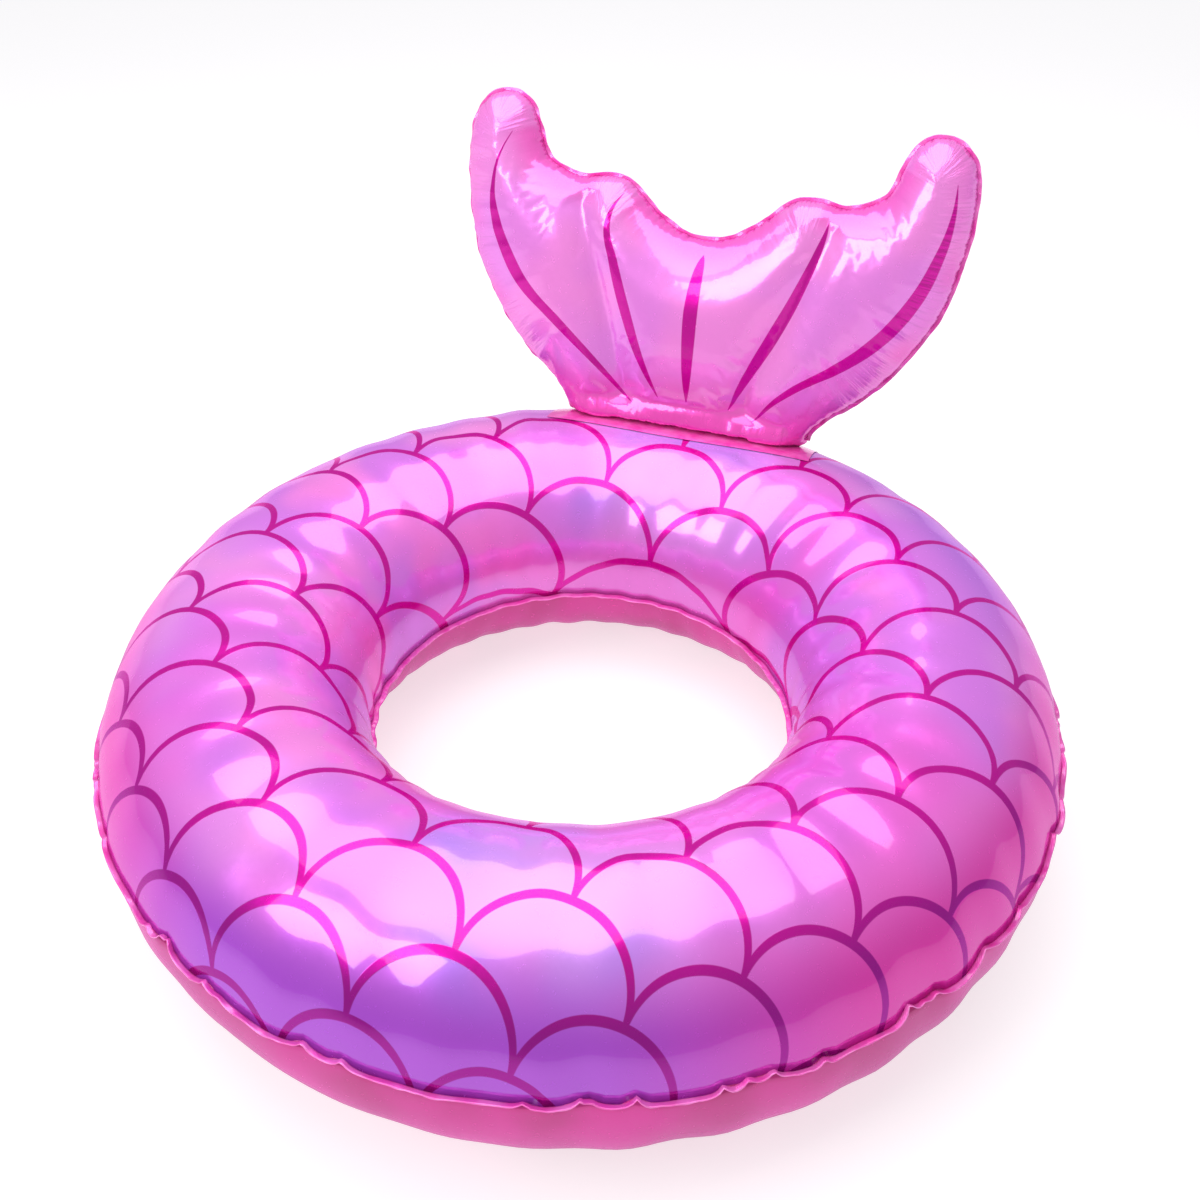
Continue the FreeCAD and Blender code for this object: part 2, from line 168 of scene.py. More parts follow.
def set_stops(ramp, stops):
    """Gives a colour ramp its stops, pairs of place and colour."""
    while len(ramp.elements) < len(stops):
        ramp.elements.new(1)
    for element, (place, colour) in zip(ramp.elements, stops):
        element.position = place
        element.color = colour


def vinyl(name, settings):
    """A new material with one shiny film shader, and the wire of the piece's own places."""
    material = bpy.data.materials.new(name)
    material.use_nodes = True
    tree = material.node_tree
    shader = tree.nodes["Principled BSDF"]
    for socket, value in settings.items():
        shader.inputs[socket].default_value = value
    place = Wire(tree).node("TexCoord", output="Object")
    return material, shader, place


def feed(shader, socket, wire):
    wire.tree.links.new(wire.socket, shader.inputs[socket])


def noise(place, scale, detail=2.0, stretch=None):
    """Soft cloudy noise, stretched along the axes if asked."""
    if stretch:
        place = place.node("Mapping", values={"Vector": place, "Scale": stretch})
    values = {"Vector": place, "Scale": scale, "Detail": detail}
    return place.node("TexNoise", values=values)


# ---------------------------------------------------------------- the colours

LILAC = srgb(208, 134, 228)
HIGHLIGHT_PINK = srgb(244, 196, 236)
PEARL_PINK = srgb(238, 148, 224)
BLUE_LILAC = srgb(176, 148, 240)
BACK_SHEEN_BLUE = srgb(150, 116, 228)
OUTER_SHADE_PURPLE = srgb(162, 76, 206)
SIDE_SHADE_PINK = srgb(240, 92, 202)
OUTER_SIDE_SHADE_PINK = srgb(214, 44, 166)
HOT_PINK = srgb(240, 84, 190)
DEEP_PINK = srgb(180, 12, 116)
BACK_PINK = srgb(232, 92, 190)
UNDER_PINK = srgb(208, 30, 146)
WELD_PINK = srgb(242, 92, 192)
PALE_WELD_PINK = srgb(250, 144, 216)
INK = srgb(206, 0, 160)
SHADED_INK = srgb(150, 0, 140)
TAIL_PINK = srgb(242, 164, 230)
TAIL_LILAC = srgb(230, 156, 234)
CLEAR_VINYL = {
    "Roughness": 0.24,
    "Metallic": 0.3,
    "Specular IOR Level": 0.2,
    "Specular Tint": srgb(250, 120, 215),
    "Coat Weight": 1.0,
    "Coat Roughness": 0.05,
    "Coat IOR": 1.6,
    "Coat Tint": srgb(255, 222, 248),
    "Sheen Weight": 0.1,
    "Sheen Roughness": 0.35,
    "Sheen Tint": srgb(240, 60, 190),
    "Thin Film Thickness": 320.0,
    "Thin Film IOR": 1.4,
}

# ---------------------------------------------------------------- the ring's print

SCALE_WIDTH = 152.3 * MM
SCALE_HEIGHT = 72.85 * MM
PRINT_START = (-5.9 * MM, 353.0 * MM)
PRINT_TURN = math.radians(3.33)  # how far the print is turned from the tail
PRINT_HOLE = 178.8 * MM  # the flat print's radius at the hole side of the tube
PRINT_REACH = 129.4 * MM  # flat print per radian round the tube
CROWN_LINE = 4.3 * MM  # half the printed line's width at a scale's top
LEG_LINE = 2.6 * MM
INK_BLUR = 0.5 * MM


def tube_places(place):
    """The distance from the ring's axis, the turn from the hole side over the tube, and x and y."""
    x, y, z = place.parts()
    out = (x * x + y * y) ** 0.5
    inward = (z - TUBE_HEIGHT).math("ARCTAN2", z - TUBE_HEIGHT, RING_RADIUS - out)
    return out, inward, x, y


def scale_lines(place):
    """The ink, 0 to 1, the turn over the tube, and how far each point is aside and behind."""
    out, inward, x, y = tube_places(place)
    flat = (inward * PRINT_REACH + PRINT_HOLE) / out
    cosine, sine = math.cos(PRINT_TURN), math.sin(PRINT_TURN)
    across = (flat * (x * cosine - y * sine) - PRINT_START[0]) / (SCALE_WIDTH / 2)
    up = (flat * (x * sine + y * cosine) - PRINT_START[1]) / SCALE_HEIGHT
    row = up.math("FLOOR", up)
    rise = up - row
    shift = (row + 1).math("FLOORED_MODULO", row + 1, 2)
    own = (across - shift + 1).math("FLOORED_MODULO", across - shift + 1, 2) - 1
    below = (across - shift).math("FLOORED_MODULO", across - shift, 2) - 1
    own_round = (own * own + rise * rise) ** 0.5
    below_round = (below * below + (rise + 1) * (rise + 1)) ** 0.5
    half_line = rise * (CROWN_LINE - LEG_LINE) + LEG_LINE
    own_gap = abs(own_round - 1) * SCALE_HEIGHT - half_line
    below_gap = abs(below_round - 1) * SCALE_HEIGHT - CROWN_LINE
    ink = 1 - own_gap.low(below_gap).between(-INK_BLUR, INK_BLUR)
    return ink, inward, abs(x / out), y / out


def film_gloss(shader, place, ink=0):
    """Soft film shines least where it is seen at a glance, and on the ink, which is duller."""
    facing = place.node("LayerWeight", values={"Blend": 0.5}, output=1)
    feed(shader, "Coat Weight", (1 - facing * facing) * (1 - ink * 0.6))
    if ink:
        feed(shader, "Metallic", ink * 0.35 + 0.3)
    feed(shader, "Roughness", noise(place, 160.0, 3.0) * 0.14 + 0.18)


def printed_film():
    """Pearly film with the fish-scale print and painted light: clouds of painted highlight, painted
    shade that makes the ring's sides pinker and its outer side purple with darker ink, and a painted
    sheen that makes it bluer at its back.
    """
    material, shader, place = vinyl("printed_film", CLEAR_VINYL)
    ink, inward, aside, behind = scale_lines(place)
    cloud = noise(place, 7.0).between(0.42, 0.62)
    drift = noise(place, 3.1, 1.0).between(0.42, 0.58)
    pearl = drift.blend(cloud.blend(LILAC, PEARL_PINK), cloud.blend(LILAC, BLUE_LILAC))
    # Painted highlight: random soft clouds of pale pink stand for the film's broad pale highlights.
    highlight_clouds = noise(place, 4.3).between(0.45, 0.6)
    pearl = (highlight_clouds * 0.32).blend(pearl, HIGHLIGHT_PINK)
    near_hole = 1 - inward.between(math.radians(5), math.radians(62))
    # Painted shade: towards the tube's outer side the film is painted purple, a deeper pink at the
    # ring's sides, and the ink there darker.
    outer_shade = inward.between(math.radians(112), math.radians(150))
    # Painted shade: at the ring's left and right sides, which are seen edge-on, the film is painted a
    # deeper pink.
    side_shade = aside.between(0.32, 0.82)
    sheen_at_back = behind.between(0.05, 0.7)
    pearl = (side_shade * drift * 0.6).blend(pearl, SIDE_SHADE_PINK)
    pearl = outer_shade.blend(pearl, side_shade.blend(OUTER_SHADE_PURPLE, OUTER_SIDE_SHADE_PINK))
    # Painted sheen: a blue-purple band on the upper outer side of the tube at the ring's back.
    back_rim_sheen = inward.between(math.radians(92), math.radians(130))
    pearl = (back_rim_sheen * sheen_at_back * 0.9).blend(pearl, BACK_SHEEN_BLUE)
    pearl = (near_hole * cloud * 0.5).blend(pearl, HOT_PINK)
    # Painted shade: the ink is painted darker on the tube's outer side.
    ink_with_shade = outer_shade.blend(INK, SHADED_INK)
    feed(shader, "Base Color", ink.blend(pearl, ink_with_shade))
    film_gloss(shader, place, ink)
    film_bumps(shader, place, ink)
    return material


def film_bumps(shader, place, ink=None, puckers=None):
    """The faint orange peel and long ripples that thin film has."""
    height = noise(place, 90.0, 3.0) * 0.25 + noise(place, 16.0, 2.0)
    if ink:
        height = height + ink * 0.25
    if puckers:
        height = height + puckers
    values = {"Height": height, "Strength": 0.26, "Distance": 0.0012}
    feed(shader, "Normal", place.node("Bump", values=values))


def plain_film(name, darker, lighter):
    """The unprinted film underneath, and at the tail's back."""
    material, shader, place = vinyl(name, CLEAR_VINYL)
    cloud = noise(place, 9.0).between(0.35, 0.65)
    feed(shader, "Base Color", cloud.blend(darker, lighter))
    film_gloss(shader, place)
    film_bumps(shader, place)
    return material


def weld_film():
    """Two films melted together, with the fine ribs of the welding tool."""
    material, shader, place = vinyl("weld_film", CLEAR_VINYL)
    cloud = noise(place, 60.0).between(0.3, 0.7)
    feed(shader, "Base Color", cloud.blend(WELD_PINK, PALE_WELD_PINK))
    ribs = place.node("TexWave", values={"Vector": place, "Scale": 260.0, "Distortion": 1.0}, output=1)
    values = {"Height": ribs, "Strength": 0.25, "Distance": 0.0004}
    feed(shader, "Normal", place.node("Bump", values=values))
    return material


def valve_vinyl():
    """Thicker soft vinyl, moulded."""
    material, shader, place = vinyl("valve_vinyl", CLEAR_VINYL)
    shader.inputs["Metallic"].default_value = 0.0
    cloud = noise(place, 120.0).between(0.3, 0.7)
    feed(shader, "Base Color", cloud.blend(srgb(236, 150, 214), srgb(246, 178, 228)))
    feed(shader, "Roughness", noise(place, 500.0, 3.0) * 0.2 + 0.22)
    return material


# ---------------------------------------------------------------- making meshes

VALVE_HOLE = 12.4 * MM  # wider than a valve's collar and narrower than its flange
FINE_EDGE = 2 * MM


def lone(made):
    """Leaves one object selected and active."""
    bpy.ops.object.select_all(action="DESELECT")
    made.select_set(True)
    bpy.context.view_layer.objects.active = made
    return made


def points_of(made):
    flat = np.empty(len(made.data.vertices) * 3, np.float32)
    made.data.vertices.foreach_get("co", flat)
    return flat.reshape(-1, 3).astype(float)


def move_points(made, points):
    made.data.vertices.foreach_set("co", points.astype(np.float32).ravel())
    made.data.update()


def apply_modifier(made, name, kind, **settings):
    modifier = lone(made).modifiers.new(name, kind)
    for setting, value in settings.items():
        setattr(modifier, setting, value)
    bpy.ops.object.modifier_apply(modifier=name)


def thicken(made, thickness):
    apply_modifier(made, "wall", "SOLIDIFY", thickness=thickness, offset=-1)
    bpy.ops.object.shade_smooth()


def pick_faces(made, wanted):
    """Selects the wanted faces and leaves the object in edit mode."""
    lone(made)
    bpy.ops.object.mode_set(mode="EDIT")
    bpy.ops.mesh.select_mode(type="FACE")
    bpy.ops.mesh.select_all(action="DESELECT")
    bpy.ops.object.mode_set(mode="OBJECT")
    made.data.polygons.foreach_set("select", wanted)
    bpy.ops.object.mode_set(mode="EDIT")


def face_centres(made):
    flat = np.empty(len(made.data.polygons) * 3, np.float32)
    made.data.polygons.foreach_get("center", flat)
    return flat.reshape(-1, 3).astype(float)


def open_for_valve(film, centre, cuts):
    """Cuts the round hole that a valve's collar goes through."""
    away = np.linalg.norm(face_centres(film) - np.array(centre), axis=1)
    pick_faces(film, away < VALVE_HOLE + 3 * FINE_EDGE * cuts)
    bpy.ops.mesh.subdivide(number_cuts=cuts)
    bpy.ops.object.mode_set(mode="OBJECT")
    away = np.linalg.norm(face_centres(film) - np.array(centre), axis=1)
    pick_faces(film, away < VALVE_HOLE)
    bpy.ops.mesh.delete(type="FACE")
    bpy.ops.object.mode_set(mode="OBJECT")


def finish_piece(made, material, slot, *nodes):
    made.data.materials.clear()
    made.data.materials.append(material)
    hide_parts(*nodes)
    return made


# ---------------------------------------------------------------- the ring's film

ROUND_STEPS = 900
SEAM_ROWS = 4
OUTER_WELD = (5 * MM, 0.7 * MM)  # width that stands out of the tube, and sway of its free side
INNER_WELD = (INNER_SEAM_WIDTH, 0.3 * MM)
TUBE_STEPS = 72
VALVE_TURN = math.pi / 2
VALVE_ANGLE = math.radians(-30)
SINK = 0.7 * MM  # how far the film lies under what is welded on it
TAIL_WELD_HALF = (150 * MM, 54 * MM)  # half the length and depth of the tail's weld on the ring
random = np.random.default_rng(SEED)
ROUND = 2 * math.pi * (RING_RADIUS + TUBE_RADIUS)


def scattered(count, low, high):
    return random.uniform(low, high, count)


PLEATS = 78  # sharp folds that gather the outer seam
pleat_turns = np.sort(scattered(PLEATS, 0, 2 * math.pi))
pleat_lifts = scattered(PLEATS, 2, 10) * MM
pleat_dents = scattered(PLEATS, 1.0, 3.2) * MM
pleat_widths = scattered(PLEATS, 4, 9) * MM
pleat_reaches = scattered(PLEATS, 14, 46) * MM


RIPPLES = [
    (
        int(random.integers(3, 42)),
        random.uniform(-5, 5),
        random.uniform(0, 2 * math.pi),
        random.uniform(0.1, 0.34) * MM,
    )
    for _ in range(14)
]
SEAM_SETTLE = 3.2 * MM  # how far the seam hangs between its folds
SEAM_FALL = 22 * MM  # how soon the seam's rise and fall dies away over the film
CALM_REACH = 30 * MM
FOOT_CALM_REACH = 25 * MM


def gather(turns):
    """How near each point of the turn is to each pleat, 1 at the fold itself."""
    apart = turns[:, None] - pleat_turns
    apart = np.abs((apart + math.pi) % (2 * math.pi) - math.pi) * ROUND / (2 * math.pi)
    return np.exp(-apart / pleat_widths)


def calm(turns, round_tube):
    """0 round the valve and under the tail's weld, where the film lies smooth, and 1 elsewhere."""
    around = (turns - VALVE_TURN) * (RING_RADIUS + TUBE_RADIUS)
    over = (round_tube - VALVE_ANGLE) * TUBE_RADIUS
    valve = np.clip(np.hypot(around, over) / CALM_REACH - 1, 0, 1)
    along = np.abs(np.cos(turns) * TAIL_FOOT.y) - TAIL_WELD_HALF[0]
    aside = np.abs(round_tube - TAIL_ANGLE) * TUBE_RADIUS - TAIL_WELD_HALF[1]
    foot = np.clip(np.maximum(along, aside) / FOOT_CALM_REACH, 0, 1)
    return valve * np.where(np.sin(turns) > 0, foot, 1)


def ripple(turns, round_tube):
    """Long low waves in the film, a few tenths of a millimetre to a millimetre high."""
    waves = np.zeros_like(turns)
    for around, over, phase, height in RIPPLES:
        waves += height * np.sin(around * turns + over * round_tube + phase)
    return waves


def on_tube(turns, round_tube, out=0.0, aside=0.0):
    """The place of film points on the blown-up ring, gathered at the outer seam."""
    fold = gather(turns)
    from_seam = np.abs(round_tube - OUTER_SEAM) * TUBE_RADIUS
    near = np.exp(-from_seam / SEAM_FALL)
    lift = ((fold * pleat_lifts).sum(1) - SEAM_SETTLE) * near
    dent = (fold * pleat_dents * np.exp(-from_seam[:, None] / pleat_reaches)).sum(1)
    angle = round_tube + (lift + aside) / TUBE_RADIUS
    free = calm(turns, round_tube)
    radius = TUBE_RADIUS + out + (ripple(turns, round_tube) - dent) * free - SINK * (1 - free)
    across = RING_RADIUS + radius * np.cos(angle)
    height = TUBE_HEIGHT + radius * np.sin(angle)
    return np.stack([across * np.cos(turns), across * np.sin(turns), np.maximum(height, 0)], 1)


def tube_angles(points):
    """The turn about the ring's axis and the angle round the tube, from its outer side."""
    turns = np.arctan2(points[:, 1], points[:, 0])
    out = np.hypot(points[:, 0], points[:, 1]) - RING_RADIUS
    round_tube = np.arctan2(points[:, 2] - TUBE_HEIGHT, out)
    return turns, np.where(round_tube < -math.pi / 2, round_tube + 2 * math.pi, round_tube)


def film_band(name, keeps, hole=None):
    """The part of a torus where keeps says, gathered, opened for a valve and thickened."""
    bpy.ops.object.select_all(action="DESELECT")
    bpy.ops.mesh.primitive_torus_add(
        major_radius=RING_RADIUS,
        minor_radius=TUBE_RADIUS,
        major_segments=ROUND_STEPS,
        minor_segments=TUBE_STEPS,
    )
    film = bpy.context.object
    film.name = name
    film.data.name = name
    move_points(film, points_of(film) + np.array([0, 0, TUBE_HEIGHT]))
    pick_faces(film, ~keeps(tube_angles(face_centres(film))[1]))
    bpy.ops.mesh.delete(type="FACE")
    bpy.ops.object.mode_set(mode="OBJECT")
    move_points(film, on_tube(*tube_angles(points_of(film))))
    if hole:
        open_for_valve(film, hole, 4)
    thicken(film, FILM)
    return film


def over_the_seams(round_tube):
    return (round_tube > OUTER_SEAM) & (round_tube < INNER_SEAM)


def under_the_seams(round_tube):
    return ~over_the_seams(round_tube)


def seam_ribbon(name, seam, width, wave):
    """The welded edge that stands out of the tube, rippled along its free side."""
    bpy.ops.object.select_all(action="DESELECT")
    bpy.ops.mesh.primitive_circle_add(vertices=ROUND_STEPS, radius=RING_RADIUS, fill_type="NOTHING")
    ribbon = bpy.context.object
    ribbon.name = name
    ribbon.data.name = name
    bpy.ops.object.mode_set(mode="EDIT")
    bpy.ops.mesh.select_all(action="SELECT")
    for _ in range(SEAM_ROWS):
        bpy.ops.mesh.extrude_edges_move(TRANSFORM_OT_translate={"value": (0, 0, width / SEAM_ROWS)})
    bpy.ops.object.mode_set(mode="OBJECT")
    points = points_of(ribbon)
    turns = np.arctan2(points[:, 1], points[:, 0])
    out = points[:, 2] - FILM
    rounds = np.full_like(turns, seam)
    slow = np.sin(turns * 61 + 2 * np.sin(turns * 17))
    quick = 0.6 * np.sin(turns * 143 + 3 * np.sin(turns * 29))
    move_points(ribbon, on_tube(turns, rounds, out, wave * (slow + quick) * out / width))
    apply_modifier(ribbon, "wall", "SOLIDIFY", thickness=SEAM_THICKNESS, offset=0)
    lone(ribbon)
    bpy.ops.object.shade_smooth()
    return ribbon


def make_ring():
    upper = film_band("ring_printed_film", over_the_seams)
    finish_piece(upper, printed_film(), "printed_film", "ring_upper_film")
    out = RING_RADIUS + TUBE_RADIUS * math.cos(VALVE_ANGLE)
    valve = Vector((0, out, TUBE_HEIGHT + TUBE_RADIUS * math.sin(VALVE_ANGLE)))
    lower = film_band("ring_clear_film", under_the_seams, valve)
    under_film = plain_film("under_film", DEEP_PINK, UNDER_PINK)
    finish_piece(lower, under_film, "clear_pink_film", "ring_lower_film")
    weld = weld_film()
    outer = seam_ribbon("ring_outer_weld", OUTER_SEAM, *OUTER_WELD)
    finish_piece(outer, weld, "weld", "ring_outer_seam")
    inner = seam_ribbon("ring_inner_weld", INNER_SEAM, *INNER_WELD)
    finish_piece(inner, weld, "weld", "ring_inner_seam")
    for piece in (upper, lower, outer, inner):
        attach(piece, "ring")
    return weld


# ---------------------------------------------------------------- the tail

# The blown-up tail's edge in its middle plane, right half, in millimetres from its foot.
TAIL_EDGE = [
    (0, 203),
    (22, 206),
    (45, 217),
    (68, 235),
    (90, 253),
    (110, 257),
    (140, 253.5),
    (160, 256),
    (183, 269),
    (194, 290),
    (205, 315),
    (220, 328),
    (238, 331),
    (256, 324),
    (273, 300),
    (277, 250),
    (271, 200),
    (258, 150),
    (230, 100),
    (212, 75),
    (188, 50),
    (162, 30),
    (142, 10),
    (135, -7),
    (80, -3),
    (0, 0),
]
TAIL_SPACING = 4.6
TAIL_HALF = 44  # half the thickness that the tail starts its blowing-up with
TAIL_SHOULDER = 78  # how far from the edge it is fully thick
FOOT_ROLL = 15  # height of the roll along its foot
FOOT_HALF = 40
FOOT_END = 135  # half the foot's length
FOOT_CORNER = 40  # how far in from its ends the foot is rounded
FOOT_LOW = 7  # how far the foot's ends reach below its middle
FOOT_HIGH = 70  # up to this height the foot's shape fades out
FOOT_FALL = 28  # up to this height the foot follows the tube's fall, in front and behind
SLACK = 1.08  # the flat films' size, as a share of the blown-up outline's
SLACK_CENTRE = np.array([0, 60])
WEB_LOW = np.array([70, 35])
WEB_HIGH = np.array([135, 225])
WEB_PULL = 0.74
WEB_REACH = 16
GRIP = 2.4
CURVE_STEPS = 20
BLOW_FRAMES = 14
PUCKERS = 120
TAIL_GAP = 1.2 * MM  # between the tail's films and the ring's
HELD_UP = 5  # the films are held to the ring below this height
TAIL_WELD = 3.6 * MM
VALVE_UP = 104  # the tail valve's height above the foot, on the back
VALVE_BACK = 46  # how far behind the tail's middle plane it is welded on
VALVE_REACH = (20, 75)
BAY_GAIN = 3
RIBBON_LOW = -2  # there is no welded edge below this height
RIBBON_ROOT = 0.6 * MM  # how far the welded edge reaches in between the films


def closed_curve(corners, spacing):
    """Even points along a smooth closed curve through corners."""
    corners = np.array(corners, float)
    share = np.linspace(0, 1, CURVE_STEPS, endpoint=False)[:, None]
    spans = []
    for number in range(len(corners)):
        before, start, finish, after = (corners[(number + k) % len(corners)] for k in (-1, 0, 1, 2))
        spans.append(
            start
            + 0.5 * (finish - before) * share
            + (before - 2.5 * start + 2 * finish - 0.5 * after) * share**2
            + 0.5 * (3 * start - before - 3 * finish + after) * share**3
        )
    line = np.concatenate(spans + [spans[0][:1]])
    run = np.concatenate([[0], np.cumsum(np.linalg.norm(np.diff(line, axis=0), axis=1))])
    stops = np.linspace(0, run[-1], int(run[-1] / spacing), endpoint=False)
    return np.stack([np.interp(stops, run, line[:, axis]) for axis in (0, 1)], 1)


def edge_gap(points, loop):
    """Each point's distance from a closed loop, and the nearest place on it, counted in sides."""
    nearest = np.full(len(points), np.inf)
    side = np.zeros(len(points))
    for number, (start, finish) in enumerate(zip(loop, np.roll(loop, -1, axis=0))):
        along = finish - start
        share = np.clip(((points - start) @ along) / (along @ along), 0, 1)
        gap = np.linalg.norm(points - start - share[:, None] * along, axis=1)
        side = np.where(gap < nearest, number + share, side)
        nearest = np.minimum(nearest, gap)
    return nearest, side


def inside(points, loop):
    """Whether each point lies within a closed loop."""
    odd = np.zeros(len(points), bool)
    for start, finish in zip(loop, np.roll(loop, -1, axis=0)):
        crosses = (start[1] > points[:, 1]) != (finish[1] > points[:, 1])
        slope = (finish[0] - start[0]) / (finish[1] - start[1] + 1e-12)
        odd ^= crosses & (points[:, 0] < slope * (points[:, 1] - start[1]) + start[0])
    return odd


def flat_tail():
    """The tail's outline filled with even triangles: points, faces, edge loop."""
    left = [(-across, up) for across, up in reversed(TAIL_EDGE[1:-1])]
    loop = closed_curve(TAIL_EDGE + left, TAIL_SPACING)
    rows = []
    for number, up in enumerate(np.arange(-20, 340, TAIL_SPACING * math.sqrt(0.75))):
        across = np.arange(-290, 290, TAIL_SPACING) + TAIL_SPACING / 2 * (number % 2)
        rows.append(np.stack([across, np.full_like(across, up)], 1))
    inner = np.concatenate(rows)
    gap, _ = edge_gap(inner, loop)
    inner = inner[inside(inner, loop) & (gap > TAIL_SPACING * 0.6)]
    inner = inner + random.uniform(-0.25, 0.25, inner.shape) * TAIL_SPACING
    points = [Vector(place) for place in np.concatenate([loop, inner])]
    rim = [(number, (number + 1) % len(loop)) for number in range(len(loop))]
    points, _, faces, *_ = delaunay_2d_cdt(points, rim, [], 1, 1e-5)
    points = np.array([list(place) for place in points])
    faces = [tuple(face) for face in faces]
    return points, [face for face in faces if len(face) == 3], loop


def web_gap(points):
    """Each point's distance from the nearer of the two weld lines."""
    mirrored = np.stack([np.abs(points[:, 0]), points[:, 1]], 1)
    along = WEB_HIGH - WEB_LOW
    share = np.clip(((mirrored - WEB_LOW) @ along) / (along @ along), 0, 1)
    return np.linalg.norm(mirrored - WEB_LOW - share[:, None] * along, axis=1)


def start_half(points, gap):
    """Half the tail's thickness before it is blown up, at points of its middle plane."""
    share = 1 - np.clip(gap / TAIL_SHOULDER, 0, 1)
    half = TAIL_HALF * np.sqrt(1 - share**2)
    foot = 1 - np.clip((points[:, 1] + FOOT_LOW) / FOOT_ROLL, 0, 1)
    side = FOOT_END + np.maximum(points[:, 1], 0) - np.abs(points[:, 0])
    side = np.clip(side / FOOT_CORNER, 0, 1)
    blunt = FOOT_HALF * np.sqrt(1 - foot**2) * np.sqrt(1 - (1 - side) ** 2)
    low = np.clip(1 - points[:, 1] / FOOT_HIGH, 0, 1)
    half = np.maximum(half, blunt * low**0.5)
    web = web_gap(points)
    return half * (1 - (1 - WEB_PULL) * np.exp(-((web / WEB_REACH) ** 2)))


def tail_to_row(points):
    """Places in the row frame, in metres, of points across, up and in front, in millimetres."""
    return np.array(TAIL_FOOT) + (points * MM) @ TAIL_AXES


def off_the_tube(places, gap):
    """Moves places out of the ring's tube, to a gap above it."""
    around = np.hypot(places[:, 0], places[:, 1])
    out = np.stack([around - RING_RADIUS, places[:, 2] - TUBE_HEIGHT], 1)
    reach = np.linalg.norm(out, axis=1)
    wanted = np.maximum(reach, TUBE_RADIUS + gap) / reach
    across = RING_RADIUS + out[:, 0] * wanted
    turned = places[:, :2] * (across / around)[:, None]
    return np.column_stack([turned, TUBE_HEIGHT + out[:, 1] * wanted])


def blow_up(made, flat, held):
    """Fills the welded pair of films with air, by cloth simulation from their flat cut."""
    lone(made)
    made.shape_key_add(name="start")
    cut = made.shape_key_add(name="cut")
    cut.data.foreach_set("co", flat.astype(np.float32).ravel())
    made.vertex_groups.new(name="held").add([int(v) for v in held], 1.0, "REPLACE")
    air = made.modifiers.new("air", "CLOTH")
    settings = air.settings
    settings.quality = 8
    settings.mass = 0.01
    settings.tension_stiffness = 80
    settings.compression_stiffness = 80
    settings.shear_stiffness = 30
    settings.bending_stiffness = 0.05
    settings.use_pressure = True
    settings.uniform_pressure_force = 20
    settings.effector_weights.gravity = 0
    settings.vertex_group_mass = "held"
    settings.rest_shape_key = cut
    air.collision_settings.use_collision = False
    for moment in range(1, BLOW_FRAMES + 1):
        bpy.context.scene.frame_set(moment)
    blown = made.evaluated_get(bpy.context.evaluated_depsgraph_get()).data
    points = np.empty(len(blown.vertices) * 3, np.float32)
    blown.vertices.foreach_get("co", points)
    made.modifiers.remove(air)
    made.shape_key_clear()
    bpy.context.scene.frame_set(1)
    return points.reshape(-1, 3).astype(float)


def hollow_edge(loop):
    """How hollow the tail's edge is at each point of its loop: 1 in a bay, -1 on a bulge."""
    before, after = np.roll(loop, 4, axis=0) - loop, np.roll(loop, -4, axis=0) - loop
    return np.clip((before[:, 0] * after[:, 1] - before[:, 1] * after[:, 0]) / 60, -1, 1)


def edge_puckers(points, gap, side, loop):
    """Small ridges that run in from the tail's edge, strongest where the edge is hollow."""
    run = side * TAIL_SPACING
    count = PUCKERS
    middles = random.uniform(0, len(loop) * TAIL_SPACING, count)
    widths = random.uniform(3.2, 5.6, count)
    reaches = random.uniform(8, 24, count)
    hollow = hollow_edge(loop)[(middles / TAIL_SPACING).astype(int) % len(loop)]
    heights = random.uniform(0.4, 1.2, count) * np.where(hollow > 0, 2.2, 0.7)
    reaches *= np.where(hollow > 0, 2.0, 1)
    apart = run[:, None] - middles
    ridge = np.exp(-((apart / widths) ** 2)) * np.exp(-gap[:, None] / reaches) * heights
    return ridge.sum(1) * (1 - np.exp(-gap / 2.5))


def seat_for_valve(places, on_back):
    """Draws the back film in, flat, to where the tail's valve is welded on."""
    across, up, front = ((places - np.array(TAIL_FOOT)) @ TAIL_AXES.T / MM).T
    start, finish = VALVE_REACH
    share = np.clip((np.hypot(across, up - VALVE_UP) - start) / (finish - start), 0, 1)
    pull = (1 - share * share * (3 - 2 * share)) * on_back
    return places + (pull * (-VALVE_BACK - front) * MM)[:, None] * np.array(TAIL_FRONT)


